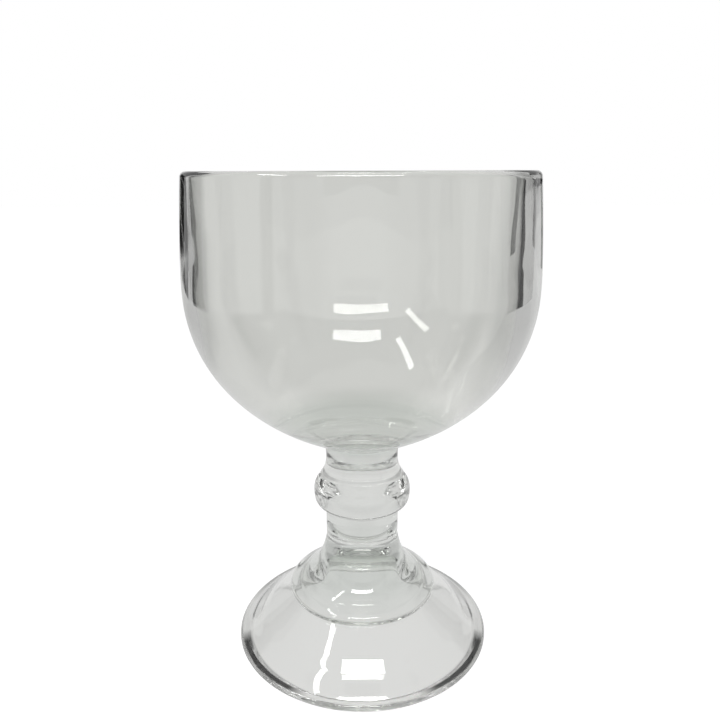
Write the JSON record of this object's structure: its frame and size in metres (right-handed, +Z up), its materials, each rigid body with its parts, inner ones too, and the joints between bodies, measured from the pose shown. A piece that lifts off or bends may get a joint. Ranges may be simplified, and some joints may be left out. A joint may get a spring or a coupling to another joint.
{
  "type": "footed goblet",
  "caption": "Heavy clear-glass footed goblet: a deep round bowl on a collar, ball knop, short stem and hollow bell foot.",
  "frame": {"origin": "centre of the foot, on the surface that the goblet stands on", "axes": "+Z up along the axis that every member is turned about, from the foot to the rim"},
  "size_m": [0.1112, 0.1112, 0.16],
  "materials": {
    "clear_glass": "clear, fire-polished, faintly green-grey where it is thick"
  },
  "bodies": {
    "root": {"foot": "clear_glass", "stem": "clear_glass", "knop": "clear_glass", "collar": "clear_glass", "bowl": "clear_glass"}
  },
  "joints": []
}
